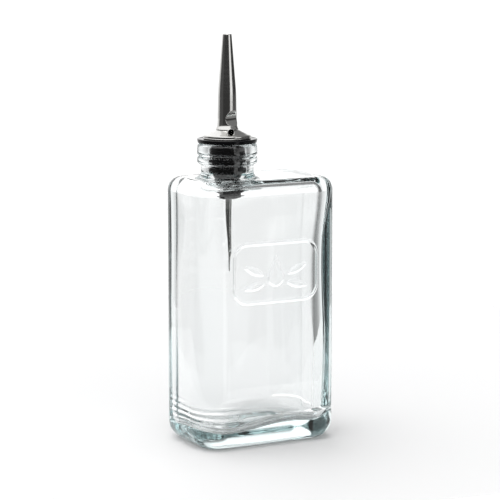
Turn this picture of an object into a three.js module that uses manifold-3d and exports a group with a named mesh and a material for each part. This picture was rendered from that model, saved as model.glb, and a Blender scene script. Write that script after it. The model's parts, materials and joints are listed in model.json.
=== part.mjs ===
// Glass oil bottle with a metal pourer.
//
// A tall pressed-glass bottle of rectangular section with its neck towards one end of the
// shoulder, a black ribbed stopper pushed into the neck, and a polished steel pourer carried by
// the stopper: a domed collar over the mouth, a tapered spout whose shank runs down through the
// stopper, and a breather tube that hangs in the bottle and lets air in beside the spout's foot.
//
// Millimetres, +Z up. The origin is on the table under the middle of the bottle's body, X runs
// along its wide side and the embossed panel faces -Y.

import * as THREE from "three";
import { mergeVertices } from "three/addons/utils/BufferGeometryUtils.js";
import Module from "manifold-3d";

const wasm = await Module();
wasm.setup();

// ---------------------------------------------------------------- driving dimensions

const BODY_WIDTH = 72;
const BODY_DEPTH = 46.8;
const SHOULDER_HEIGHT = 124.7;
const CORNER_RADIUS = 12;
const BASE_EDGE_RADIUS = 8.4;
const SHOULDER_EDGE_RADIUS = 6.1;

const WALL = 4.3;
const FLOOR_THICKNESS = 9;
const SHOULDER_THICKNESS = 3.6;
const CAVITY_FLOOR_RADIUS = 5;
const CAVITY_TOP_RADIUS = 3.4;
const BASE_RECESS = 1; // depth of the shallow hollow that leaves a resting ring under the base
const RESTING_RING = 3;

const NECK_X = -12;
const NECK_RADIUS = 12.3;
const NECK_FILLET = 3.2;
const RING_RADIUS = 14;
const GROOVE_HEIGHT = 135.1;
const LIP_TOP = 140.9;
const LIP_ROUNDING = 1.7; // of the lip's outer and inner edges, with a flat land between them
const BORE_RADIUS = 9.1;

const GAP = 0.3; // between pieces that touch on the real object

const FLANGE_RADIUS = 14.1;
const FLANGE_THICKNESS = 1.3;
const FLANGE_RIM = 0.4; // how far the flange's edge stands above the seat of the collar
const STOPPER_BOTTOM = 115.6;

const COLLAR_RADIUS = 11.15;
const COLLAR_BAND = 1.8;
const SHEET = 0.7; // thickness of the pressed steel

const SHANK_RADIUS = 4.3;
const SHANK_BOTTOM = 115.2;
const SPOUT_TIP = 191;
const SPOUT_TIP_RADIUS = 2.16;
const SPOUT_WALL = 0.6;

const BREATHER_RADIUS = 1.4;
const BREATHER_WALL = 0.4;
const QUILL_RADIUS = 1.05;
const QUILL_CUT_TOP = 91.6;
const QUILL_TIP = 80.5;

const SCALLOP_RADIUS = 6.3; // of the scallop's middle from the pourer's axis
const SCALLOP_HEIGHT = 152.3;
const SCALLOP_HALF_SIZE = new THREE.Vector3(10, 4, 3.6);

const SPOUT_TURN = 7; // degrees that the pourer stands turned from facing straight forwards
const VENT_TURN = -21; // of the breather's upper end, from the pourer's forward direction
const SCALLOP_TURN = 13;

const PANEL_WIDTH = 44.2;
const PANEL_HEIGHT = 28.6;
const PANEL_CORNER = 7.5;
const PANEL_X = 1.2;
const PANEL_Z = 82.6;
const PANEL_BEAD = 1.3;
const RELIEF = 0.5;

// ---------------------------------------------------------------- solids and booleans

const EMBED = 1; // how deep a joined piece of relief reaches into the wall behind it

function solid(geometry) {
  const bare = geometry.index ? geometry.toNonIndexed() : geometry.clone();
  bare.deleteAttribute("normal");
  bare.deleteAttribute("uv");
  const merged = mergeVertices(bare, 1e-5);
  const mesh = new wasm.Mesh({
    numProp: 3,
    vertProperties: new Float32Array(merged.attributes.position.array),
    triVerts: new Uint32Array(merged.index.array),
  });
  return new wasm.Manifold(mesh);
}

function geometryOf(manifold) {
  const mesh = manifold.getMesh();
  const geometry = new THREE.BufferGeometry();
  geometry.setAttribute("position", new THREE.BufferAttribute(mesh.vertProperties, 3));
  geometry.setIndex(new THREE.BufferAttribute(mesh.triVerts, 1));
  geometry.computeVertexNormals();
  return geometry;
}

// A profile is a list of [radius, height] points, turned about the vertical axis.
function turned(profile, segments) {
  const points = profile.map(([radius, height]) => new THREE.Vector2(radius, height));
  return new THREE.LatheGeometry(points, segments).rotateX(Math.PI / 2);
}

// Points along an arc of a profile, from one angle to the other in degrees, both ends included.
function arc(radius, height, size, from, to, steps) {
  return Array.from({ length: steps + 1 }, (_, i) => {
    const angle = THREE.MathUtils.degToRad(from + ((to - from) * i) / steps);
    return [radius + size * Math.cos(angle), height + size * Math.sin(angle)];
  });
}

function roundedRectangle(width, height, radius) {
  const x = width / 2 - radius;
  const y = height / 2 - radius;
  const shape = new THREE.Shape();
  shape.absarc(x, y, radius, 0, Math.PI / 2);
  shape.absarc(-x, y, radius, Math.PI / 2, Math.PI);
  shape.absarc(-x, -y, radius, Math.PI, Math.PI * 1.5);
  shape.absarc(x, -y, radius, Math.PI * 1.5, Math.PI * 2);
  return shape;
}

// An upright block on this plan, with its top and bottom edges rounded.
function roundedBlock(plan, edge, bottom, top) {
  const geometry = new THREE.ExtrudeGeometry(plan, {
    depth: top - bottom - 2 * edge,
    curveSegments: 6,
    bevelThickness: edge,
    bevelSize: edge,
    bevelOffset: -edge,
    bevelSegments: 5,
  });
  return solid(geometry.translate(0, 0, bottom + edge));
}

// The bottle's base and shoulder have different edge radii, so two blocks are intersected.
function bottleForm(plan, bottomEdge, topEdge, bottom, top) {
  const spare = 20;
  const lower = roundedBlock(plan, bottomEdge, bottom, top + spare);
  const upper = roundedBlock(plan, topEdge, bottom - spare, top);
  return lower.intersect(upper);
}

// ---------------------------------------------------------------- the glass

function neckOutside() {
  const root = 118;
  const edge = 1.7;
  const notch = 0.8;
  const ringBottom = 131.9;
  const flare = arc(
    NECK_RADIUS + NECK_FILLET, SHOULDER_HEIGHT + NECK_FILLET, NECK_FILLET, 270, 180, 6,
  );
  const ringUnderside = arc(RING_RADIUS - edge, ringBottom + edge / 2, edge, 290, 360, 4);
  const lipTop = arc(
    RING_RADIUS - LIP_ROUNDING, LIP_TOP - LIP_ROUNDING, LIP_ROUNDING, 0, 90, 5,
  );
  return [
    [0, root],
    [NECK_RADIUS + NECK_FILLET, root],
    ...flare,
    [NECK_RADIUS, ringBottom - edge / 2],
    ...ringUnderside,
    [RING_RADIUS, GROOVE_HEIGHT - notch],
    [RING_RADIUS - notch, GROOVE_HEIGHT],
    [RING_RADIUS, GROOVE_HEIGHT + notch],
    ...lipTop,
    [0, LIP_TOP],
  ];
}

function boreProfile() {
  const below = 112;
  const above = LIP_TOP + 5;
  const entry = 2.2;
  const ceiling = SHOULDER_HEIGHT - SHOULDER_THICKNESS;
  return [
    [0, below],
    [BORE_RADIUS + entry, below],
    ...arc(BORE_RADIUS + entry, ceiling + entry, entry, 270, 180, 4),
    ...arc(BORE_RADIUS + LIP_ROUNDING, LIP_TOP - LIP_ROUNDING, LIP_ROUNDING, 180, 90, 4),
    [BORE_RADIUS + LIP_ROUNDING, above],
    [0, above],
  ];
}

// Raised relief on the front wall, drawn as it is seen from the front.
function frontRelief(shape) {
  const geometry = new THREE.ExtrudeGeometry(shape, {
    depth: RELIEF + EMBED,
    curveSegments: 5,
    bevelEnabled: false,
  });
  geometry.rotateX(Math.PI / 2);
  return solid(geometry.translate(PANEL_X, -BODY_DEPTH / 2 + EMBED, PANEL_Z));
}

function panelBead() {
  const bead = roundedRectangle(PANEL_WIDTH, PANEL_HEIGHT, PANEL_CORNER);
  bead.holes.push(
    roundedRectangle(
      PANEL_WIDTH - 2 * PANEL_BEAD, PANEL_HEIGHT - 2 * PANEL_BEAD, PANEL_CORNER - PANEL_BEAD,
    ),
  );
  return frontRelief(bead);
}

// The emblem is a plain oil drop between two pairs of leaves.
function drop() {
  const tip = 8;
  const radius = 4;
  const low = -2.6;
  const shape = new THREE.Shape();
  shape.moveTo(0, tip);
  shape.bezierCurveTo(0.8, tip - 3.6, radius, low + 3.4, radius, low);
  shape.absarc(0, low, radius, 0, -Math.PI, true);
  shape.bezierCurveTo(-radius, low + 3.4, -0.8, tip - 3.6, 0, tip);
  return shape;
}

function leaf(x, y, length, width, degrees) {
  const angle = THREE.MathUtils.degToRad(degrees);
  const along = new THREE.Vector2(Math.cos(angle), Math.sin(angle));
  const across = new THREE.Vector2(-along.y, along.x).multiplyScalar(width);
  const start = new THREE.Vector2(x, y);
  const end = start.clone().addScaledVector(along, length);
  const middle = start.clone().addScaledVector(along, length * 0.45);
  const left = middle.clone().add(across);
  const right = middle.clone().sub(across);
  const shape = new THREE.Shape();
  shape.moveTo(start.x, start.y);
  shape.quadraticCurveTo(right.x, right.y, end.x, end.y);
  shape.quadraticCurveTo(left.x, left.y, start.x, start.y);
  return shape;
}

function emblem() {
  const shapes = [drop()];
  for (const side of [0, 180]) {
    const sign = side ? -1 : 1;
    shapes.push(leaf(sign * 6.4, -1.2, 10.6, 3, side + sign * 24));
    shapes.push(leaf(sign * 5.8, -5.2, 10.6, 3, side - sign * 12));
  }
  return shapes.map((shape) => frontRelief(shape));
}

function bottleGeometry() {
  const outside = bottleForm(
    roundedRectangle(BODY_WIDTH, BODY_DEPTH, CORNER_RADIUS),
    BASE_EDGE_RADIUS, SHOULDER_EDGE_RADIUS, 0, SHOULDER_HEIGHT,
  );
  const cavity = bottleForm(
    roundedRectangle(BODY_WIDTH - 2 * WALL, BODY_DEPTH - 2 * WALL, CORNER_RADIUS - WALL),
    CAVITY_FLOOR_RADIUS, CAVITY_TOP_RADIUS,
    FLOOR_THICKNESS, SHOULDER_HEIGHT - SHOULDER_THICKNESS,
  );
  const inset = 2 * (BASE_EDGE_RADIUS + RESTING_RING);
  const recessCorner = 5;
  const recess = roundedBlock(
    roundedRectangle(BODY_WIDTH - inset, BODY_DEPTH - inset, recessCorner),
    BASE_RECESS, -3 * BASE_RECESS, BASE_RECESS,
  );
  const neck = solid(turned(neckOutside(), 40).translate(NECK_X, 0, 0));
  const bore = solid(turned(boreProfile(), 40).translate(NECK_X, 0, 0));
  let glass = outside.add(neck).add(panelBead());
  for (const relief of emblem()) {
    glass = glass.add(relief);
  }
  return geometryOf(glass.subtract(cavity).subtract(bore).subtract(recess));
}

// ---------------------------------------------------------------- the stopper

// One moulding: a flange that lies on the lip, two sealing ribs and a narrower plug below.
function stopperGeometry() {
  const bore = SHANK_RADIUS + GAP;
  const tail = 5.65;
  const tailRib = 7.3;
  const plug = 7;
  const waist = 7.4; // between the two sealing ribs
  const throat = 8.3;
  const flangeBottom = LIP_TOP + GAP;
  const flangeTop = flangeBottom + FLANGE_THICKNESS;
  const rimTop = flangeTop + FLANGE_RIM;
  const rib = BORE_RADIUS - GAP;
  const profile = [
    [bore, STOPPER_BOTTOM],
    [tail - 0.45, STOPPER_BOTTOM],
    [tail, STOPPER_BOTTOM + 0.45],
    [tail, 117.1],
    [tailRib, 117.2],
    [tailRib, 117.7],
    [tail, 117.9],
    [tail, 119.4],
    [plug, 120.4],
    [plug, 126.4],
    [plug + 0.5, 126.9],
    [rib, 127.4],
    [rib, 129.6],
    [waist, 130.6],
    [waist, 131.8],
    [rib, 132.6],
    [rib, 135.4],
    [throat, 136.1],
    [throat, flangeBottom - 0.5],
    [throat + 0.5, flangeBottom],
    [FLANGE_RADIUS - 0.4, flangeBottom],
    [FLANGE_RADIUS, rimTop - 0.3],
    [FLANGE_RADIUS - 0.3, rimTop],
    [FLANGE_RADIUS - 0.8, rimTop],
    [FLANGE_RADIUS - 1.5, flangeTop],
    [bore, flangeTop],
    [bore, STOPPER_BOTTOM],
  ];
  return geometryOf(solid(turned(profile, 40)));
}

// ---------------------------------------------------------------- the steel pourer

// Below its bend the breather hangs on the pourer's axis. Above, it leans outwards, leaves the
// shank and comes out through the collar. The forward direction of the turned pieces is -Y.
function breatherBend(radius) {
  const path = new THREE.CatmullRomCurve3([
    new THREE.Vector3(0, 0, 139),
    new THREE.Vector3(0, 0, 141),
    new THREE.Vector3(0, -1, 143.6),
    new THREE.Vector3(0, -3.6, 145.4),
    new THREE.Vector3(0, -8, 146.35),
  ]);
  const section = new THREE.Shape().absarc(0, 0, radius, 0, Math.PI * 2);
  const geometry = new THREE.ExtrudeGeometry(section, {
    steps: 10,
    curveSegments: 8,
    extrudePath: path,
  });
  return solid(geometry.rotateZ(THREE.MathUtils.degToRad(VENT_TURN)));
}

function breatherDrop(outer, tip, bottom) {
  const top = 140;
  const shoulder = STOPPER_BOTTOM;
  return solid(turned([[0, bottom], [tip, bottom], [tip, QUILL_CUT_TOP], [outer, shoulder],
    [outer, top], [0, top]], 16));
}

// Everything in front of the quill's long curved cut.
function quillCut() {
  const front = 4;
  const shape = new THREE.Shape();
  shape.moveTo(front, QUILL_CUT_TOP + 4);
  shape.quadraticCurveTo(-0.4, QUILL_CUT_TOP - 2, -0.7, QUILL_CUT_TOP - 6.4);
  shape.lineTo(-0.85, QUILL_TIP - 1);
  shape.lineTo(front, QUILL_TIP - 1);
  shape.closePath();
  const geometry = new THREE.ExtrudeGeometry(shape, {
    depth: 2 * front,
    curveSegments: 8,
    bevelEnabled: false,
  });
  geometry.translate(0, 0, -front);
  geometry.rotateX(Math.PI / 2);
  return solid(geometry.rotateZ(-Math.PI / 2));
}

function breatherGeometry() {
  const bore = BREATHER_RADIUS - BREATHER_WALL;
  const outside = breatherDrop(BREATHER_RADIUS, QUILL_RADIUS, QUILL_TIP)
    .add(breatherBend(BREATHER_RADIUS));
  const inside = breatherDrop(bore, QUILL_RADIUS - BREATHER_WALL, QUILL_TIP - 1)
    .add(breatherBend(bore));
  return geometryOf(outside.subtract(inside).subtract(quillCut()));
}

// The scallop that is pressed into the foot of the spout, above the breather's end.
function scallop(growth) {
  const ball = new THREE.SphereGeometry(1, 24, 16);
  ball.rotateX(Math.PI / 2);
  ball.scale(...SCALLOP_HALF_SIZE.toArray().map((half) => half + growth));
  ball.translate(0, -SCALLOP_RADIUS, SCALLOP_HEIGHT);
  return solid(ball.rotateZ(THREE.MathUtils.degToRad(SCALLOP_TURN)));
}

function spoutGeometry() {
  const foot = 147.3;
  const bend = 165;
  const outside = [
    [0, SHANK_BOTTOM],
    [SHANK_RADIUS, SHANK_BOTTOM],
    [SHANK_RADIUS, foot],
    [5.4, foot],
    [5.1, 148],
    [4.8, 148.8],
    [4.6, 150],
    [4.5, 152],
    [4.3, bend],
    [3.55, 174],
    [2.8, 183],
    [SPOUT_TIP_RADIUS, SPOUT_TIP],
    [0, SPOUT_TIP],
  ];
  const inside = [
    [0, SHANK_BOTTOM - 1],
    [SHANK_RADIUS - SPOUT_WALL, SHANK_BOTTOM - 1],
    [SHANK_RADIUS - SPOUT_WALL, bend],
    [3.55 - SPOUT_WALL, 174],
    [2.8 - SPOUT_WALL, 183],
    [SPOUT_TIP_RADIUS - SPOUT_WALL, SPOUT_TIP],
    [SPOUT_TIP_RADIUS - SPOUT_WALL, SPOUT_TIP + 1],
    [0, SPOUT_TIP + 1],
  ];
  const skin = solid(turned(outside, 36)).subtract(scallop(0));
  const hollow = solid(turned(inside, 36)).subtract(scallop(SPOUT_WALL));
  return geometryOf(skin.subtract(hollow).subtract(breatherBend(BREATHER_RADIUS + GAP)));
}

// A shallow dome with a short upright band at its rim and a hole for the shank.
function collarGeometry() {
  const bottom = LIP_TOP + GAP + FLANGE_THICKNESS + GAP;
  const hole = SHANK_RADIUS + GAP;
  const bandTop = bottom + COLLAR_BAND;
  const crown = 147;
  const profile = [
    [COLLAR_RADIUS, bottom],
    [COLLAR_RADIUS, bandTop - 0.5],
    [COLLAR_RADIUS - 0.4, bandTop],
    [9.3, 145.1],
    [7.4, 146],
    [5.4, crown],
    [hole, crown],
    [hole, crown - SHEET],
    [5.2, crown - SHEET],
    [7.1, 145.3],
    [9, 144.4],
    [COLLAR_RADIUS - SHEET - 0.3, bandTop - SHEET],
    [COLLAR_RADIUS - SHEET, bottom],
    [COLLAR_RADIUS, bottom],
  ];
  const dome = solid(turned(profile, 40));
  return geometryOf(dome.subtract(breatherBend(BREATHER_RADIUS + GAP)));
}

// ---------------------------------------------------------------- the assembly

const MATERIALS = {
  glass: { color: 0xe6f1ef, roughness: 0.03, metalness: 0, transparent: true, opacity: 0.35 },
  rubber: { color: 0x17181a, roughness: 0.5, metalness: 0 },
  steel: { color: 0xb9b8b4, roughness: 0.18, metalness: 1 },
};

function piece(name, geometry, material) {
  const mesh = new THREE.Mesh(geometry, new THREE.MeshStandardMaterial(MATERIALS[material]));
  mesh.name = name;
  return mesh;
}

const pourer = new THREE.Group();
pourer.position.set(NECK_X, 0, 0);
pourer.rotation.z = THREE.MathUtils.degToRad(SPOUT_TURN);
pourer.add(
  piece("stopper", stopperGeometry(), "rubber"),
  piece("domed_collar", collarGeometry(), "steel"),
  piece("pour_spout", spoutGeometry(), "steel"),
  piece("breather_tube", breatherGeometry(), "steel"),
);

const group = new THREE.Group();
group.add(piece("glass_bottle", bottleGeometry(), "glass"), pourer);

export default group;
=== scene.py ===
# Looks of the glass oil bottle: clear pressed glass, a ribbed black stopper and a polished steel
# pourer. Shapes are drawn in millimetres in the frame's axes and become metres in add_mesh().

import json
import math

import bmesh
import bpy
import numpy as np
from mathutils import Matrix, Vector


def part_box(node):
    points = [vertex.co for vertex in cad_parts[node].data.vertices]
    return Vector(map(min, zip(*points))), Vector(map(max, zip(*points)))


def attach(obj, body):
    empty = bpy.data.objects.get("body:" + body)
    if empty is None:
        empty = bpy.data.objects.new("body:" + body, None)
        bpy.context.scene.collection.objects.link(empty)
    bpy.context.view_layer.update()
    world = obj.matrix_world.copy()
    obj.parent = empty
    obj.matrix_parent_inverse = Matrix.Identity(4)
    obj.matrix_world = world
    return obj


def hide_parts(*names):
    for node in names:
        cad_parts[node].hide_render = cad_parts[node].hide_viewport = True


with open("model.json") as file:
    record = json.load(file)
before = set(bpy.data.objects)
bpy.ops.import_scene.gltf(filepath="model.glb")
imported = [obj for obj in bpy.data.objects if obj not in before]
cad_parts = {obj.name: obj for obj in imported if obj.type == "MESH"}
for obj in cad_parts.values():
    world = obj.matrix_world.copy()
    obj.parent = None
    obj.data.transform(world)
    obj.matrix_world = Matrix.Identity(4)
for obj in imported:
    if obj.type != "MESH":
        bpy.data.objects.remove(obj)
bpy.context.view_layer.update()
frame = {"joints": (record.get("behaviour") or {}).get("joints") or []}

MM = 0.001


def box_mm(node):
    """The corners of a CAD node's box in millimetres."""
    low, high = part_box(node)
    return np.array(low) / MM, np.array(high) / MM


# ---------------------------------------------------------------- sizes, from the frame

GLASS_LOW, GLASS_HIGH = box_mm("glass_bottle")
HALF_WIDTH = GLASS_HIGH[0]
HALF_DEPTH = GLASS_HIGH[1]
RELIEF = -GLASS_LOW[1] - HALF_DEPTH
LIP_TOP = GLASS_HIGH[2]

TURN_JOINT = next(j for j in frame["joints"] if j["name"] == "spout_turn")
NECK_X = TURN_JOINT["pos_m"][0] / MM

STOPPER_LOW, STOPPER_HIGH = box_mm("stopper")
COLLAR_LOW, COLLAR_HIGH = box_mm("domed_collar")
SPOUT_LOW, SPOUT_HIGH = box_mm("pour_spout")
BREATHER_LOW, _ = box_mm("breather_tube")

SHOULDER = 124.7
CORNER = 12.0
BASE_EDGE = 8.4
SHOULDER_EDGE = 6.1
BASE_RECESS = 1.0
RESTING_RING = 3.0

# The cavity's corners are oval in plan, and they grow wider from GROWTH_TOP downwards.
WALL = 4.3
CAVITY_CORNER = (8.6, 13.0)
CORNER_GROWTH = 1.6
GROWTH_TOP = 116.0
GROWTH_DROP = 36.0
FLOOR_THICKNESS = 9.0
CEILING = SHOULDER - 3.6
CAVITY_TOP_EDGE = 3.4
CAVITY_FLOOR_EDGE = 5.0

NECK_RADIUS = 12.3
NECK_RING_FOOT = 131.55
RING_RADIUS = 14.0
GROOVE_HEIGHT = 135.1
BORE_RADIUS = 9.1
BORE_FLARE_RADIUS = 13.5
LIP_ROUNDING = 1.7

SPOUT_TURN = math.radians(7)


# ---------------------------------------------------------------- mesh helpers

def add_mesh(name, points, faces, sharp_degrees=50):
    """A new shaded-smooth mesh object from points in millimetres."""
    mesh = bpy.data.meshes.new(name)
    mesh.from_pydata((np.asarray(points) * MM).tolist(), [], faces)
    bm = bmesh.new()
    bm.from_mesh(mesh)
    bmesh.ops.recalc_face_normals(bm, faces=bm.faces)
    bm.to_mesh(mesh)
    bm.free()
    mesh.polygons.foreach_set("use_smooth", [True] * len(mesh.polygons))
    mesh.set_sharp_from_angle(angle=math.radians(sharp_degrees))
    obj = bpy.data.objects.new(name, mesh)
    bpy.context.scene.collection.objects.link(obj)
    return obj


def loft(rings, closed_on_itself=False, first_point=None, last_point=None):
    """Points and faces of a skin over rings of equal length, with an apex at either end."""
    count = len(rings[0])
    points = [np.asarray(ring) for ring in rings]
    faces = []
    pairs = len(rings) if closed_on_itself else len(rings) - 1
    for i in range(pairs):
        a = i * count
        b = ((i + 1) % len(rings)) * count
        for j in range(count):
            k = (j + 1) % count
            faces.append((a + j, a + k, b + k, b + j))
    stacked = np.concatenate(points)
    for apex, ring_start in ((first_point, 0), (last_point, (len(rings) - 1) * count)):
        if apex is None:
            continue
        tip = len(stacked)
        stacked = np.vstack([stacked, apex])
        for j in range(count):
            faces.append((ring_start + j, ring_start + (j + 1) % count, tip))
    return stacked, faces


def filleted(corners, steps=6):
    """A profile from (radius, height, fillet) corners, each rounded by an arc of that size."""
    corners = [np.array(c, float) for c in corners]
    out = []
    for i, corner in enumerate(corners):
        here, size = corner[:2], corner[2]
        if size <= 0:
            out.append(here)
            continue
        before = corners[i - 1][:2] - here
        after = corners[(i + 1) % len(corners)][:2] - here
        before /= np.linalg.norm(before)
        after /= np.linalg.norm(after)
        half = math.acos(np.clip(before @ after, -1, 1)) / 2
        reach = size / math.tan(half)
        middle = here + (before + after) / np.linalg.norm(before + after) * size / math.sin(half)
        start = here + before * reach - middle
        end = here + after * reach - middle
        angle = math.acos(np.clip(start @ end / size**2, -1, 1))
        for t in np.linspace(0, 1, steps + 1):
            blend = math.sin((1 - t) * angle) * start + math.sin(t * angle) * end
            out.append(middle + blend / max(math.sin(angle), 1e-9))
    return np.array(out)


def refined(profile, longest):
    """The profile with long straight stretches divided."""
    out = [profile[0]]
    for a, b in zip(profile[:-1], profile[1:]):
        pieces = max(1, int(np.ceil(np.linalg.norm(b - a) / longest)))
        out.extend(a + (b - a) * k / pieces for k in range(1, pieces + 1))
    return np.array(out)


def ring_about_neck(radius, height, angles):
    """A ring about the neck's axis, with a point at each angle."""
    return np.column_stack(
        [NECK_X + radius * np.cos(angles), radius * np.sin(angles), np.full(len(angles), height)]
    )


def turned_rings(profile, segments):
    """Rings about the neck's axis, from (radius, height) points."""
    angles = np.linspace(0, 2 * math.pi, segments, endpoint=False)
    return [ring_about_neck(radius, height, angles) for radius, height in profile]


def smoothstep(x):
    x = np.clip(x, 0, 1)
    return x * x * (3 - 2 * x)


# ---------------------------------------------------------------- the glass

FRONT_POINTS = 150
BACK_POINTS = 56
RIGHT_POINTS = 20
LEFT_POINTS = 28
CORNER_POINTS = 16
LEAST_CORNER = 0.8


def outline(half_width, half_depth, corner, corner_depth=None):
    """A rounded rectangle from its front left, anticlockwise as seen from above."""
    corner = max(corner, LEAST_CORNER)
    corner_depth = max(corner_depth or corner, LEAST_CORNER)
    x = half_width - corner
    y = half_depth - corner_depth
    radii = np.array([corner, corner_depth])
    sides = (
        ((-x, -half_depth), (x, -half_depth), FRONT_POINTS, (x, -y), -90),
        ((half_width, -y), (half_width, y), RIGHT_POINTS, (x, y), 0),
        ((x, half_depth), (-x, half_depth), BACK_POINTS, (-x, y), 90),
        ((-half_width, y), (-half_width, -y), LEFT_POINTS, (-x, -y), 180),
    )
    points = []
    for start, end, count, centre, angle in sides:
        for t in np.linspace(0, 1, count, endpoint=False):
            points.append(np.array(start) * (1 - t) + np.array(end) * t)
        for t in np.linspace(0, 1, CORNER_POINTS, endpoint=False):
            a = math.radians(angle + 90 * t)
            points.append(np.array(centre) + radii * np.array([math.cos(a), math.sin(a)]))
    return np.array(points)


def body_ring(inset, height):
    """The body's outline moved in by inset, at a height."""
    plan = outline(HALF_WIDTH - inset, HALF_DEPTH - inset, CORNER - inset)
    return np.column_stack([plan, np.full(len(plan), height)])


def cavity_ring(inset, height):
    """The cavity's outline moved in by inset, at a height."""
    total = WALL + inset
    across, along = CAVITY_CORNER
    across += CORNER_GROWTH * smoothstep((GROWTH_TOP - height) / GROWTH_DROP)
    plan = outline(HALF_WIDTH - total, HALF_DEPTH - total, across - inset, along - inset)
    return np.column_stack([plan, np.full(len(plan), height)])


SHOULDER_PLAN = outline(
    HALF_WIDTH - SHOULDER_EDGE, HALF_DEPTH - SHOULDER_EDGE, CORNER - SHOULDER_EDGE
)
NECK_ANGLES = np.arctan2(SHOULDER_PLAN[:, 1], SHOULDER_PLAN[:, 0] - NECK_X)


def neck_ring(radius, height):
    """A round ring whose points line up with the shoulder's."""
    return ring_about_neck(radius, height, NECK_ANGLES)


def between(ring_a, ring_b, count):
    """Rings strictly between two rings."""
    return [ring_a + (ring_b - ring_a) * t for t in np.linspace(0, 1, count + 2)[1:-1]]


def edge_rounding(size, floor, level, ring=body_ring, steps=9, inwards=False):
    """Rings round the edge of a level face: of a floor if floor is True, or else of a top."""
    rings = []
    for t in np.linspace(0, math.pi / 2, steps + 1):
        inset = size * (1 - math.sin(t))
        away = size * (1 - math.cos(t))
        rings.append(ring(inset, level + away if floor else level - away))
    return rings[::-1] if inwards else rings


# The panel on the front: a bead round a plain emblem of an oil drop between leaves.

PANEL_X = 1.2
PANEL_Z = 82.6
PANEL_HALF = np.array([22.1, 14.3])
PANEL_CORNER = 7.5
BEAD_WIDTH = 1.3


def bezier(points, steps=14):
    """A Bezier curve without its last point."""
    t = np.linspace(0, 1, steps, endpoint=False)[:, None]
    points = [np.array(p, float) for p in points]
    while len(points) > 1:
        points = [a * (1 - t) + b * t for a, b in zip(points[:-1], points[1:])]
    return points[0]


def drop_outline():
    """An oil drop: a round bowl under two curved sides that meet in a tip."""
    radius, low, tip = 4.0, -2.6, 8.0
    right = [(0, tip), (0.8, tip - 3.6), (radius, low + 3.4), (radius, low)]
    left = [(-x, z) for x, z in right[::-1]]
    around = np.radians(np.linspace(0, -180, 24, endpoint=False))
    bowl = np.column_stack([radius * np.cos(around), low + radius * np.sin(around)])
    return np.concatenate([bezier(right), bowl, bezier(left)])


def leaf_outline(start, length, width, degrees):
    """A pointed leaf from its stalk, at an angle to the panel's width."""
    angle = math.radians(degrees)
    along = np.array([math.cos(angle), math.sin(angle)])
    across = np.array([-along[1], along[0]]) * width
    start = np.array(start, float)
    end = start + along * length
    middle = start + along * length * 0.45
    return np.concatenate(
        [bezier([start, middle - across, end]), bezier([end, middle + across, start])]
    )


def emblem_outlines():
    """A drop, and on each side of it an upper leaf and a lower one."""
    length, width = 10.6, 3.0
    shapes = [drop_outline()]
    for side, sign in ((0, 1), (180, -1)):
        shapes.append(leaf_outline((sign * 6.4, -1.2), length, width, side + sign * 24))
        shapes.append(leaf_outline((sign * 5.8, -5.2), length, width, side - sign * 12))
    return shapes


def depth_inside(points, polygon):
    """Signed distance from points to a closed outline, positive inside it."""
    a = polygon[None]
    b = np.roll(polygon, -1, 0)[None]
    p = points[:, None]
    edge = b - a
    t = np.clip(((p - a) * edge).sum(-1) / (edge**2).sum(-1), 0, 1)
    distance = np.linalg.norm(p - (a + edge * t[..., None]), axis=-1).min(1)
    crosses = (a[..., 1] > p[..., 1]) != (b[..., 1] > p[..., 1])
    slope = (b[..., 0] - a[..., 0]) / np.where(edge[..., 1] == 0, 1e-9, edge[..., 1])
    left_of = p[..., 0] < a[..., 0] + slope * (p[..., 1] - a[..., 1])
    inside = (crosses & left_of).sum(1) % 2 == 1
    return np.where(inside, distance, -distance)


def relief(x, z):
    """How far the front stands proud at these places, in millimetres."""
    local = np.column_stack([x - PANEL_X, z - PANEL_Z])
    past_corner = np.abs(local) - (PANEL_HALF - PANEL_CORNER)
    outside = np.linalg.norm(np.maximum(past_corner, 0), axis=1)
    outside += np.minimum(past_corner.max(1), 0) - PANEL_CORNER
    from_bead = np.abs(outside + BEAD_WIDTH / 2)
    height = RELIEF * smoothstep(1.25 - from_bead / (BEAD_WIDTH / 2))
    within = outside < -BEAD_WIDTH
    slope_width = 0.55
    for shape in emblem_outlines():
        rise = smoothstep(depth_inside(local[within], shape) / slope_width + 0.35)
        height[within] = np.maximum(height[within], RELIEF * rise)
    return height


def with_relief(ring):
    """The ring with its front points moved out to the panel's surface."""
    ring = ring.copy()
    front = slice(0, FRONT_POINTS)
    ring[front, 1] -= relief(ring[front, 0], ring[front, 2])
    return ring


def outer_wall():
    """Rings up the outside, close together over the panel."""
    spacing = 0.34
    margin = 1.2
    low = PANEL_Z - PANEL_HALF[1] - margin
    high = PANEL_Z + PANEL_HALF[1] + margin
    heights = np.concatenate(
        [
            np.linspace(BASE_EDGE, low, 14, endpoint=False),
            np.arange(low, high, spacing),
            np.linspace(high, SHOULDER - SHOULDER_EDGE, 6),
        ]
    )
    return [with_relief(body_ring(0, z)) for z in heights]


def underside():
    """The base from its middle outwards: a shallow hollow, then the ring that it stands on."""
    ring_inset = BASE_EDGE + RESTING_RING
    slope = 2.2
    hollow = body_ring(ring_inset + slope, BASE_RECESS)
    middle = np.array([0, 0, BASE_RECESS])
    rings = [middle + (hollow - middle) * share for share in (0.2, 0.5, 0.8)]
    rings += [hollow, body_ring(ring_inset + slope / 2, BASE_RECESS / 2)]
    rings += [body_ring(ring_inset, 0), body_ring(BASE_EDGE + RESTING_RING / 2, 0)]
    return rings


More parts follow.
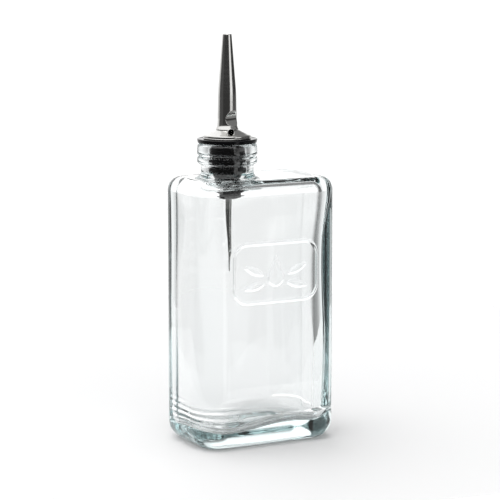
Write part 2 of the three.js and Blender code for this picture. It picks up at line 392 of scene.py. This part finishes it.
def neck_profile():
    """Outside of the neck from the shoulder to the lip, then down the mouth and the bore."""
    groove_half, groove_depth = 0.75, 0.85
    outside = filleted(
        [
            (19.0, SHOULDER, 0),
            (NECK_RADIUS, SHOULDER, 3.2),
            (NECK_RADIUS, NECK_RING_FOOT - 0.5, 0.9),
            (RING_RADIUS, NECK_RING_FOOT, 1.19),
            (RING_RADIUS, GROOVE_HEIGHT - groove_half, 0.35),
            (RING_RADIUS - groove_depth, GROOVE_HEIGHT, 0.25),
            (RING_RADIUS, GROOVE_HEIGHT + groove_half, 0.35),
            (RING_RADIUS, LIP_TOP, LIP_ROUNDING),
            (BORE_RADIUS, LIP_TOP, LIP_ROUNDING),
            (BORE_RADIUS, CEILING, 2.0),
            (BORE_FLARE_RADIUS, CEILING, 0),
        ],
        steps=7,
    )
    return refined(outside, 1.6)


# Pressed glass is even outside and uneven inside. A patch of the front left corner is thicker,
# and so is the right wall below its top.

PATCH_CENTRE = np.array([-24, -14, 52])
PATCH_REACH = np.array([9, 8, 24])
PATCH_DEPTH = 1.3
RIGHT_WALL_DEPTH = 1.4


def inner_waves(ring):
    """The ring of the cavity, moved in and out by the drift of the wall's thickness."""
    x, y, z = ring.T
    angle = np.arctan2(y / HALF_DEPTH, x / HALF_WIDTH)
    drift = 0.22 * np.sin(2 * angle + z / 17) + 0.16 * np.sin(3 * angle - z / 11 + 1)
    from_patch = (((ring - PATCH_CENTRE) / PATCH_REACH) ** 2).sum(1)
    drift -= PATCH_DEPTH * np.exp(-from_patch)
    drift -= RIGHT_WALL_DEPTH * smoothstep((118 - z) / 24) * smoothstep((x - 16) / 10)
    moved = ring.copy()
    moved[:, 0] += drift * np.cos(angle)
    moved[:, 1] += drift * np.sin(angle)
    return moved


FLOW_TOP = 24.0
FLOW_FADE = 10.0
FLOW_PITCH = 2.7
FLOW_DEPTH = 0.3


def flow_marks(ring):
    """Ripples where the glass settled, round the foot of the cavity at its left corners."""
    x, y, z = ring.T
    inset = HALF_DEPTH - WALL - y.max()
    low = smoothstep((FLOW_TOP - z) / FLOW_FADE)
    corner = smoothstep((-x - 12) / FLOW_FADE)
    wave = math.sin(2 * math.pi * (z[0] - inset) / FLOW_PITCH)
    depth = FLOW_DEPTH * wave * low * corner
    angle = np.arctan2(y, x)
    moved = ring.copy()
    moved[:, 0] += depth * np.cos(angle)
    moved[:, 1] += depth * np.sin(angle)
    moved[:, 2] -= depth * inset / CAVITY_FLOOR_EDGE
    return moved


def cavity():
    """From the ceiling outwards, down the walls and in over the floor."""
    wall_top = CEILING - CAVITY_TOP_EDGE
    wall_foot = FLOOR_THICKNESS + CAVITY_FLOOR_EDGE
    ceiling_start = neck_ring(BORE_FLARE_RADIUS, CEILING)
    ceiling_end = cavity_ring(CAVITY_TOP_EDGE, CEILING)
    rings = between(ceiling_start, ceiling_end, 5)
    rings += edge_rounding(CAVITY_TOP_EDGE, False, CEILING, cavity_ring)
    heights = np.linspace(wall_top, FLOW_TOP, 18, endpoint=False)[1:]
    low_heights = np.linspace(FLOW_TOP, wall_foot, 16, endpoint=False)
    walls = [cavity_ring(0, z) for z in (*heights, *low_heights)]
    rings += [inner_waves(flow_marks(ring)) for ring in walls]
    foot = edge_rounding(
        CAVITY_FLOOR_EDGE, True, FLOOR_THICKNESS, cavity_ring, steps=18, inwards=True
    )
    rings += [flow_marks(ring) for ring in foot]
    last = rings[-1]
    middle = np.array([0, 0, FLOOR_THICKNESS])
    rings += [middle + (last - middle) * share for share in (0.85, 0.65, 0.4, 0.15)]
    return [wavy_floor(ring) for ring in rings]


def wavy_floor(ring):
    """The ring raised and lowered by the floor's swell, which dies out up the walls."""
    x, y, z = ring.T
    reach = 9.0
    near_floor = smoothstep((FLOOR_THICKNESS + reach - z) / reach)
    swell = 1.0 * np.sin(x / 8.5 + 0.8) + 0.7 * np.sin(y / 6 - x / 13)
    ring = ring.copy()
    ring[:, 2] += swell * near_floor
    return ring


def make_bottle():
    """One skin from under the base, up the outside, into the mouth and over the cavity."""
    shoulder_edge = edge_rounding(SHOULDER_EDGE, False, SHOULDER, inwards=True)
    neck = [neck_ring(r, z) for r, z in neck_profile()]
    rings = underside()
    rings += edge_rounding(BASE_EDGE, True, 0)[:-1]
    rings += outer_wall()
    rings += shoulder_edge[1:]
    rings += between(rings[-1], neck[0], 8)
    rings += neck
    rings += cavity()
    points, faces = loft(
        rings,
        first_point=np.array([0, 0, BASE_RECESS]),
        last_point=rings[-1].mean(0),
    )
    return add_mesh("bottle_glass", points, faces, sharp_degrees=75)


# ---------------------------------------------------------------- the stopper

def make_stopper():
    """One black moulding: a flange on the lip, two sealing ribs and a narrower plug below."""
    low, high = STOPPER_LOW[2], STOPPER_HIGH[2]
    bore = 4.6
    tail = 5.65
    tail_rib = 7.3
    plug = 7.0
    waist = 7.4
    throat = 8.3
    rib = BORE_RADIUS - 0.3
    rim = (STOPPER_HIGH[0] - STOPPER_LOW[0]) / 2
    flange_low = LIP_TOP + 0.06
    seat = COLLAR_LOW[2] - 0.1
    profile = filleted(
        [
            (bore, low, 0.2),
            (tail, low, 0.5),
            (tail, 117.0, 0.15),
            (tail_rib, 117.15, 0.2),
            (tail_rib, 117.75, 0.2),
            (tail, 117.95, 0.3),
            (tail, 119.8, 0.3),
            (plug, 120.3, 0.6),
            (plug, 126.7, 0.3),
            (rib, 127.2, 0.6),
            (rib, 129.8, 0.6),
            (waist, 130.5, 0.3),
            (waist, 131.9, 0.3),
            (rib, 132.5, 0.6),
            (rib, 135.6, 0.6),
            (throat, 136.1, 0.2),
            (throat, flange_low, 0.3),
            (rim - 0.4, flange_low, 0.35),
            (rim, high, 0.35),
            (rim - 0.8, high, 0.25),
            (rim - 1.4, seat, 0.3),
            (bore, seat, 0.1),
        ],
        steps=5,
    )
    rings = turned_rings(refined(profile, 1.0), 160)
    points, faces = loft(rings, closed_on_itself=True)
    return add_mesh("ribbed_stopper", points, faces)


# ---------------------------------------------------------------- the steel pourer

def turned_by(angle, x, y):
    """Plan coordinates from the neck's axis, turned anticlockwise about it."""
    cosine, sine = math.cos(angle), math.sin(angle)
    return cosine * x - sine * y, sine * x + cosine * y


def turn_pourer(points):
    """Turns points about the neck's axis from facing forwards to where the pourer stands."""
    x, y = turned_by(SPOUT_TURN, points[:, 0] - NECK_X, points[:, 1])
    return np.column_stack([NECK_X + x, y, points[:, 2]])


def make_collar():
    """A band, a shallow cone with a bend in it and a crown round the spout's foot."""
    low = COLLAR_LOW[2]
    rim = (COLLAR_HIGH[0] - COLLAR_LOW[0]) / 2
    crown = COLLAR_HIGH[2]
    band_top = low + 1.75
    bend = 145.15
    hole = 4.6
    sheet = 0.7
    profile = filleted(
        [
            (rim - 0.15, low, 0.2),
            (rim, low + 0.45, 0.25),
            (rim - 0.12, low + 0.75, 0.1),
            (rim, low + 1.05, 0.25),
            (rim, band_top, 0.45),
            (9.3, bend, 8.0),
            (5.3, crown, 0.25),
            (hole, crown, 0.1),
            (hole, crown - sheet, 0.1),
            (9.0, bend - sheet, 7.0),
            (rim - sheet, band_top - sheet, 0.2),
            (rim - sheet, low, 0.25),
        ],
        steps=7,
    )
    points, faces = loft(turned_rings(refined(profile, 0.6), 180), closed_on_itself=True)
    return add_mesh("domed_collar_steel", turn_pourer(points), faces)


# The scallop is where an ellipsoid in front of the spout's foot dents it. The ellipsoid's centre
# is at SCALLOP_RADIUS from the neck's axis.

SCALLOP_TURN = math.radians(13)
SCALLOP_RADIUS = 6.3
SCALLOP_HEIGHT = 152.3
SCALLOP_HALF = np.array([10, 4, 3.6])


def scalloped(points, growth):
    """Presses the scallop into the spout's foot, with a softened edge."""
    x, y = points[:, 0] - NECK_X, points[:, 1]
    radius = np.hypot(x, y)
    out_x, out_y = x / np.maximum(radius, 1e-9), y / np.maximum(radius, 1e-9)
    across, along = turned_by(-SCALLOP_TURN, out_x, out_y)
    half = SCALLOP_HALF + growth
    # The nearer root of a quadratic in the radius is where a ray from the axis meets it.
    square = (across / half[0]) ** 2 + (along / half[1]) ** 2
    linear = along * SCALLOP_RADIUS / half[1] ** 2
    rise = (points[:, 2] - SCALLOP_HEIGHT) / half[2]
    constant = (SCALLOP_RADIUS / half[1]) ** 2 + rise**2 - 1
    under_root = linear**2 - square * constant
    hit = (under_root > 0) & (along < 0)
    near = np.where(hit, (-linear - np.sqrt(np.maximum(under_root, 0))) / square, 1e3)
    soft = 0.35
    blend = np.clip(0.5 + 0.5 * (near - radius) / soft, 0, 1)
    pressed = near * (1 - blend) + radius * blend - soft * blend * (1 - blend)
    new = np.where(hit, np.minimum(pressed, radius), radius)
    return np.column_stack([NECK_X + out_x * new, out_y * new, points[:, 2]])


def make_spout():
    """A shank through the stopper, a foot on the collar and a long taper to the tip."""
    low, tip = SPOUT_LOW[2], SPOUT_HIGH[2]
    wall = 0.6
    shank = 4.3
    foot = 147.15
    taper_start = 165.0
    tip_radius = 2.16
    section = filleted(
        [
            (shank - wall, low, 0),
            (shank, low, 0.1),
            (shank, foot, 0),
            (5.45, foot, 0.1),
            (4.75, 148.9, 3.0),
            (4.5, 152.0, 10.0),
            (shank, taper_start, 60.0),
            (tip_radius, tip, 0.22),
            (tip_radius - wall, tip, 0.22),
            (shank - wall, taper_start, 60.0),
        ],
        steps=8,
    )
    profile = refined(np.vstack([section, section[:1]]), 0.4)[:-1]
    turn = int(np.argmax(profile[:, 1]))
    rings = turned_rings(profile, 160)
    skin = [scalloped(ring, 0) for ring in rings[:turn]]
    lining = [scalloped(ring, wall) for ring in rings[turn:]]
    points, faces = loft(skin + lining, closed_on_itself=True)
    return add_mesh("tapered_spout", turn_pourer(points), faces)


BREATHER_RADIUS = 1.4
BREATHER_WALL = 0.4
BREATHER_SEGMENTS = 64
BEND_START = 139
VENT_TURN = math.radians(-21)
QUILL_RADIUS = 1.05
QUILL_CUT_TOP = 91.6


def catmull_rom(points, steps):
    """A smooth curve through all of the points."""
    points = [np.array(p, float) for p in points]
    points = [2 * points[0] - points[1], *points, 2 * points[-1] - points[-2]]
    out = []
    for a, b, c, d in zip(points[:-3], points[1:-2], points[2:-1], points[3:]):
        for t in np.linspace(0, 1, steps, endpoint=False):
            out.append(
                0.5 * (2 * b + (c - a) * t + (2 * a - 5 * b + 4 * c - d) * t * t
                       + (3 * b - a - 3 * c + d) * t**3)
            )
    out.append(points[-2])
    return np.array(out)


def breather_path():
    """From the quill's tip up the pourer's axis, then forwards out of the spout's foot."""
    straight = [(0, 0, z) for z in np.linspace(BREATHER_LOW[2], BEND_START, 60)]
    bend = catmull_rom(
        [(0, 0, BEND_START), (0, 0, 141), (0, -1, 143.6), (0, -3.6, 145.4), (0, -8, 146.35)], 10
    )
    return np.concatenate([straight, bend[1:]])


def swept(path, radii):
    """Rings round a path in the upright plane x = 0, turned to where the breather comes out."""
    tangent = np.gradient(path, axis=0)
    tangent /= np.linalg.norm(tangent, axis=1)[:, None]
    side = np.array([1.0, 0, 0])
    angle = np.linspace(0, 2 * math.pi, BREATHER_SEGMENTS, endpoint=False)[:, None]
    rings = []
    for centre, along, radius in zip(path, tangent, radii):
        up = np.cross(along, side)
        ring = centre + radius * (np.cos(angle) * side + np.sin(angle) * up)
        x, y = turned_by(VENT_TURN, ring[:, 0], ring[:, 1])
        rings.append(np.column_stack([NECK_X + x, y, ring[:, 2]]))
    return rings


def cut(obj, cutter):
    """Cuts obj by cutter and deletes the cutter."""
    modifier = obj.modifiers.new("cut", "BOOLEAN")
    modifier.object = cutter
    modifier.operation = "DIFFERENCE"
    modifier.solver = "EXACT"
    depsgraph = bpy.context.evaluated_depsgraph_get()
    result = bpy.data.meshes.new_from_object(obj.evaluated_get(depsgraph))
    obj.modifiers.clear()
    obj.data = result
    bpy.data.objects.remove(cutter)
    result.polygons.foreach_set("use_smooth", [True] * len(result.polygons))
    result.set_sharp_from_angle(angle=math.radians(40))
    return obj


def make_breather():
    """A tube that narrows towards its quill, with a flared and rounded lip at its vent."""
    path = breather_path()
    taper = np.clip((path[:, 2] - QUILL_CUT_TOP) / (STOPPER_LOW[2] - QUILL_CUT_TOP), 0, 1)
    near_vent = smoothstep(1 - np.linalg.norm(path - path[-1], axis=1) / 2.2)
    outer = QUILL_RADIUS + (BREATHER_RADIUS - QUILL_RADIUS) * taper + 0.35 * near_vent
    inner = outer - BREATHER_WALL + 0.05 * near_vent
    skin = swept(path, outer)
    lining = swept(path, inner)[::-1]
    forwards = (path[-1] - path[-2]) / np.linalg.norm(path[-1] - path[-2])
    middle, half = (outer[-1] + inner[-1]) / 2, (outer[-1] - inner[-1]) / 2
    lip = []
    for t in np.linspace(0, math.pi, 9)[1:-1]:
        centre = path[-1] + forwards * half * math.sin(t)
        radius = middle + half * math.cos(t)
        short_path = np.array([centre - forwards, centre, centre + forwards])
        lip.append(swept(short_path, [radius] * 3)[1])
    points, faces = loft(skin + lip + lining, closed_on_itself=True)
    tube = add_mesh("breather_steel", turn_pourer(points), faces)
    return cut(tube, quill_cutter())


def quill_cutter():
    """The space in front of the long curved cut that makes the breather's end a quill."""
    front = 4.0
    tip = BREATHER_LOW[2] - 1
    curve_end = (-0.7, QUILL_CUT_TOP - 6.4)
    curve = bezier([(front, QUILL_CUT_TOP + 4), (-0.4, QUILL_CUT_TOP - 2), curve_end], 24)
    side = np.vstack([curve, curve_end, (-0.85, tip), (front, tip)])
    slab = [
        np.column_stack([np.full(len(side), NECK_X + x), -side[:, 0], side[:, 1]])
        for x in (-front, front)
    ]
    points = turn_pourer(np.concatenate(slab))
    n = len(side)
    faces = [(i, (i + 1) % n, n + (i + 1) % n, n + i) for i in range(n)]
    faces += [tuple(range(n)), tuple(range(2 * n - 1, n - 1, -1))]
    return add_mesh("quill_cutter", points, faces)


def breather_clearance():
    """The room that the breather's bend takes out of the collar and the spout."""
    path = breather_path()
    path = path[path[:, 2] > BEND_START + 1]
    path = np.vstack([path, 2 * path[-1] - path[-4]])
    radii = np.full(len(path), BREATHER_RADIUS + 0.1)
    rings = swept(path, radii)
    points, faces = loft(rings, first_point=rings[0].mean(0), last_point=rings[-1].mean(0))
    return add_mesh("breather_clearance", turn_pourer(points), faces)


# ---------------------------------------------------------------- materials

def new_material(name):
    """A material, its node tree, its Principled shader and its output."""
    material = bpy.data.materials.new(name)
    material.use_nodes = True
    tree = material.node_tree
    tree.nodes.clear()
    shader = tree.nodes.new("ShaderNodeBsdfPrincipled")
    output = tree.nodes.new("ShaderNodeOutputMaterial")
    tree.links.new(shader.outputs["BSDF"], output.inputs["Surface"])
    return material, tree, shader, output


def object_noise(tree, scale, detail=3.0, stretch=(1, 1, 1)):
    """Noise fixed to the piece; scale is in features per metre."""
    place = tree.nodes.new("ShaderNodeTexCoord")
    mapping = tree.nodes.new("ShaderNodeMapping")
    mapping.inputs["Scale"].default_value = stretch
    noise = tree.nodes.new("ShaderNodeTexNoise")
    noise.inputs["Scale"].default_value = scale
    noise.inputs["Detail"].default_value = detail
    tree.links.new(place.outputs["Object"], mapping.inputs["Vector"])
    tree.links.new(mapping.outputs["Vector"], noise.inputs["Vector"])
    return noise.outputs["Fac"]


def ranged(tree, value, low, high):
    """Noise, spread from low to high."""
    node = tree.nodes.new("ShaderNodeMapRange")
    node.inputs["From Min"].default_value = 0.35
    node.inputs["From Max"].default_value = 0.65
    node.inputs["To Min"].default_value = low
    node.inputs["To Max"].default_value = high
    tree.links.new(value, node.inputs["Value"])
    return node.outputs["Result"]


def bumped(tree, shader, value, distance, strength):
    """Bumps the shader's surface by a value; distance is in metres."""
    node = tree.nodes.new("ShaderNodeBump")
    node.inputs["Distance"].default_value = distance
    node.inputs["Strength"].default_value = strength
    tree.links.new(value, node.inputs["Height"])
    tree.links.new(node.outputs["Normal"], shader.inputs["Normal"])


def glass_material():
    """Clear soda-lime glass whose long edge-on paths turn blue-green."""
    material, tree, shader, output = new_material("clear pressed glass")
    shader.inputs["Base Color"].default_value = (1, 1, 1, 1)
    shader.inputs["Transmission Weight"].default_value = 1
    shader.inputs["IOR"].default_value = 1.517
    handling = object_noise(tree, 60, 4)
    tree.links.new(ranged(tree, handling, 0.0, 0.012), shader.inputs["Roughness"])
    bumped(tree, shader, object_noise(tree, 130, 2), 0.0001, 0.12)
    absorption = tree.nodes.new("ShaderNodeVolumeAbsorption")
    absorption.inputs["Color"].default_value = (0.2, 0.62, 0.64, 1)
    absorption.inputs["Density"].default_value = 5
    tree.links.new(absorption.outputs["Volume"], output.inputs["Volume"])
    return material


def rubber_material():
    material, tree, shader, _ = new_material("black moulded rubber")
    shader.inputs["Base Color"].default_value = (0.005, 0.005, 0.006, 1)
    shader.inputs["Specular IOR Level"].default_value = 0.25
    grain = object_noise(tree, 900, 4)
    tree.links.new(ranged(tree, grain, 0.12, 0.2), shader.inputs["Roughness"])
    bumped(tree, shader, object_noise(tree, 2500, 3), 0.00002, 0.25)
    return material


def steel_material():
    """Polished stainless steel, with fine marks that run round the turned pieces."""
    material, tree, shader, _ = new_material("polished turned steel")
    shader.inputs["Metallic"].default_value = 1
    tone = tree.nodes.new("ShaderNodeMixRGB")
    tone.inputs["Color1"].default_value = (0.56, 0.555, 0.54, 1)
    tone.inputs["Color2"].default_value = (0.66, 0.655, 0.64, 1)
    tree.links.new(object_noise(tree, 90, 3), tone.inputs["Fac"])
    tree.links.new(tone.outputs["Color"], shader.inputs["Base Color"])
    marks = object_noise(tree, 500, 5, stretch=(0.3, 0.3, 8))
    tree.links.new(ranged(tree, marks, 0.10, 0.18), shader.inputs["Roughness"])
    bumped(tree, shader, marks, 0.00001, 0.10)
    return material


def floor_material():
    material, tree, shader, _ = new_material("white table")
    tone = tree.nodes.new("ShaderNodeMixRGB")
    tone.inputs["Color1"].default_value = (0.86, 0.86, 0.865, 1)
    tone.inputs["Color2"].default_value = (0.88, 0.88, 0.88, 1)
    tree.links.new(object_noise(tree, 3, 2), tone.inputs["Fac"])
    tree.links.new(tone.outputs["Color"], shader.inputs["Base Color"])
    shader.inputs["Roughness"].default_value = 0.8
    shader.inputs["Specular IOR Level"].default_value = 0.2
    return material


# ---------------------------------------------------------------- camera, light and table

VIEW_YAW = math.radians(27.25)
VIEW_PITCH = math.radians(8.85)
VIEW_DISTANCE = 976.6
VIEW_TARGET = (-0.13, 0, 89.66)
LENS = 149.7


def make_camera():
    """A camera in front of the bottle, to its left and a little above it."""
    back = Vector(
        (
            -math.sin(VIEW_YAW) * math.cos(VIEW_PITCH),
            -math.cos(VIEW_YAW) * math.cos(VIEW_PITCH),
            math.sin(VIEW_PITCH),
        )
    )
    data = bpy.data.cameras.new("camera")
    data.lens = LENS
    data.sensor_width = 36
    data.clip_start = 0.05
    camera = bpy.data.objects.new("camera", data)
    camera.location = (Vector(VIEW_TARGET) + back * VIEW_DISTANCE) * MM
    camera.rotation_euler = (-back).to_track_quat("-Z", "Y").to_euler()
    bpy.context.scene.collection.objects.link(camera)
    bpy.context.scene.camera = camera


# The studio round the table: light levels by compass angle from straight behind the bottle,
# clockwise as seen from above. At eye level there is a wide white backdrop that fades to its
# sides, a dark flag and then a softbox at the right, and darkness at the left and in front.
# Below the horizon the backdrop fades sooner, the flag is grey and the softbox sits a little
# farther round. Above, the room is bright, but for a grey panel over the right side, and it is
# brightest overhead.
STUDIO = (
    (-180, 0.05),
    (-138, 0.05),
    (-122, 0.1),
    (-84, 0.1),
    (-66, 0.95),
    (-22, 1.35),
    (16, 1.35),
    (38, 0.9),
    (46, 0.05),
    (104, 0.05),
    (114, 1.3),
    (136, 1.3),
    (146, 0.05),
    (180, 0.05),
)
LOWER_STUDIO = (
    (-180, 0.05),
    (-138, 0.05),
    (-122, 0.1),
    (-84, 0.1),
    (-66, 0.5),
    (-34, 0.8),
    (-8, 1.03),
    (8, 1.03),
    (30, 0.8),
    (44, 0.45),
    (60, 0.3),
    (104, 0.3),
    (116, 0.05),
    (130, 0.05),
    (133, 1.0),
    (142, 1.0),
    (146, 0.05),
    (180, 0.05),
)
UPPER_STUDIO = (
    (-180, 1.45),
    (-4, 1.45),
    (8, 0.25),
    (134, 0.25),
    (148, 1.45),
    (180, 1.45),
)
STUDIO_TOP = 2.85
BACKDROP = 1.1

# The elevations, in degrees, between which one level gives way to the next above it.
LOWER_EDGE = (-6, -3)
UPPER_EDGE = (12, 24)
TOP_EDGE = (65, 75)


def feed(tree, socket, value):
    """Sets a socket to a number or links it to another node's output."""
    if isinstance(value, (int, float)):
        socket.default_value = value
    else:
        tree.links.new(value, socket)


def math_node(tree, operation, first, second=0.0):
    """The result of one sum on numbers or other nodes' outputs."""
    node = tree.nodes.new("ShaderNodeMath")
    node.operation = operation
    feed(tree, node.inputs[0], first)
    feed(tree, node.inputs[1], second)
    return node.outputs["Value"]


def level_round(tree, turns, levels):
    """The light's level by compass angle."""
    ramp = tree.nodes.new("ShaderNodeValToRGB")
    ramp.color_ramp.interpolation = "EASE"
    brightest = max(level for _, level in levels)
    stops = ramp.color_ramp.elements
    while len(stops) < len(levels):
        stops.new(0.5)
    for stop, (degrees, level) in zip(stops, levels):
        stop.position = (degrees + 180) / 360
        stop.color = (*[level / brightest] * 3, 1)
    tree.links.new(turns, ramp.inputs["Fac"])
    return math_node(tree, "MULTIPLY", ramp.outputs["Color"], brightest)


def blended(tree, height, edge, below, above):
    """From one level to another between an edge's two elevations."""
    low_degrees, high_degrees = edge
    rise = tree.nodes.new("ShaderNodeMapRange")
    rise.interpolation_type = "SMOOTHSTEP"
    rise.inputs["From Min"].default_value = math.sin(math.radians(low_degrees))
    rise.inputs["From Max"].default_value = math.sin(math.radians(high_degrees))
    tree.links.new(height, rise.inputs["Value"])
    mix = tree.nodes.new("ShaderNodeMix")
    tree.links.new(rise.outputs["Result"], mix.inputs["Factor"])
    feed(tree, mix.inputs["A"], below)
    feed(tree, mix.inputs["B"], above)
    return mix.outputs["Result"]


def make_studio():
    """Lights the scene by the studio, while behind the table there is plain white to see."""
    world = bpy.data.worlds.new("studio")
    bpy.context.scene.world = world
    world.use_nodes = True
    tree = world.node_tree
    tree.nodes.clear()
    place = tree.nodes.new("ShaderNodeTexCoord")
    split = tree.nodes.new("ShaderNodeSeparateXYZ")
    tree.links.new(place.outputs["Generated"], split.inputs["Vector"])
    x, y, z = (split.outputs[k] for k in "XYZ")
    compass = math_node(tree, "ARCTAN2", x, y)
    compass = math_node(tree, "SUBTRACT", compass, VIEW_YAW)
    turns = math_node(tree, "DIVIDE", compass, 2 * math.pi)
    turns = math_node(tree, "ADD", turns, 1.5)
    turns = math_node(tree, "FRACT", turns)
    level = level_round(tree, turns, STUDIO)
    lower = level_round(tree, turns, LOWER_STUDIO)
    upper = level_round(tree, turns, UPPER_STUDIO)
    level = blended(tree, z, LOWER_EDGE, lower, level)
    level = blended(tree, z, UPPER_EDGE, level, upper)
    level = blended(tree, z, TOP_EDGE, level, STUDIO_TOP)
    studio = tree.nodes.new("ShaderNodeBackground")
    feed(tree, studio.inputs["Strength"], level)
    white = tree.nodes.new("ShaderNodeBackground")
    feed(tree, white.inputs["Strength"], BACKDROP)
    for background in (studio, white):
        background.inputs["Color"].default_value = (1, 1, 1, 1)
    seen = tree.nodes.new("ShaderNodeLightPath")
    choose = tree.nodes.new("ShaderNodeMixShader")
    tree.links.new(seen.outputs["Is Camera Ray"], choose.inputs["Fac"])
    tree.links.new(studio.outputs["Background"], choose.inputs[1])
    tree.links.new(white.outputs["Background"], choose.inputs[2])
    output = tree.nodes.new("ShaderNodeOutputWorld")
    tree.links.new(choose.outputs["Shader"], output.inputs["Surface"])


TABLE_RADIUS = 260.0
TABLE_CENTRE_BEHIND = 135.0
TABLE_GAP = 0.02


def make_table():
    """A round white table top, most of it behind the bottle."""
    angle = np.linspace(0, 2 * math.pi, 96, endpoint=False)
    points = np.column_stack(
        [
            TABLE_CENTRE_BEHIND * math.sin(VIEW_YAW) + TABLE_RADIUS * np.cos(angle),
            TABLE_CENTRE_BEHIND * math.cos(VIEW_YAW) + TABLE_RADIUS * np.sin(angle),
            np.full(len(angle), -TABLE_GAP),
        ]
    )
    table = add_mesh("table", points, [tuple(range(len(points)))])
    table.data.materials.append(floor_material())


# ---------------------------------------------------------------- the pieces

def finish_piece(obj, material, body, node):
    """Gives a piece its material and its slot, and puts it in its CAD node's place."""
    obj.data.materials.clear()
    obj.data.materials.append(material)
    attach(obj, body)
    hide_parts(node)


def make_pieces():
    steel = steel_material()
    finish_piece(make_bottle(), glass_material(), "bottle", "glass_bottle")
    finish_piece(make_stopper(), rubber_material(), "stopper", "stopper")
    collar = cut(make_collar(), breather_clearance())
    finish_piece(collar, steel, "pourer", "domed_collar")
    spout = cut(make_spout(), breather_clearance())
    finish_piece(spout, steel, "pourer", "pour_spout")
    finish_piece(make_breather(), steel, "pourer", "breather_tube")


make_camera()
make_studio()
make_table()
make_pieces()

scene = bpy.context.scene
scene.view_settings.view_transform = "Standard"
scene.view_settings.look = "None"
scene.cycles.max_bounces = 24
scene.cycles.transmission_bounces = 24
scene.cycles.glossy_bounces = 12
scene.cycles.diffuse_bounces = 4
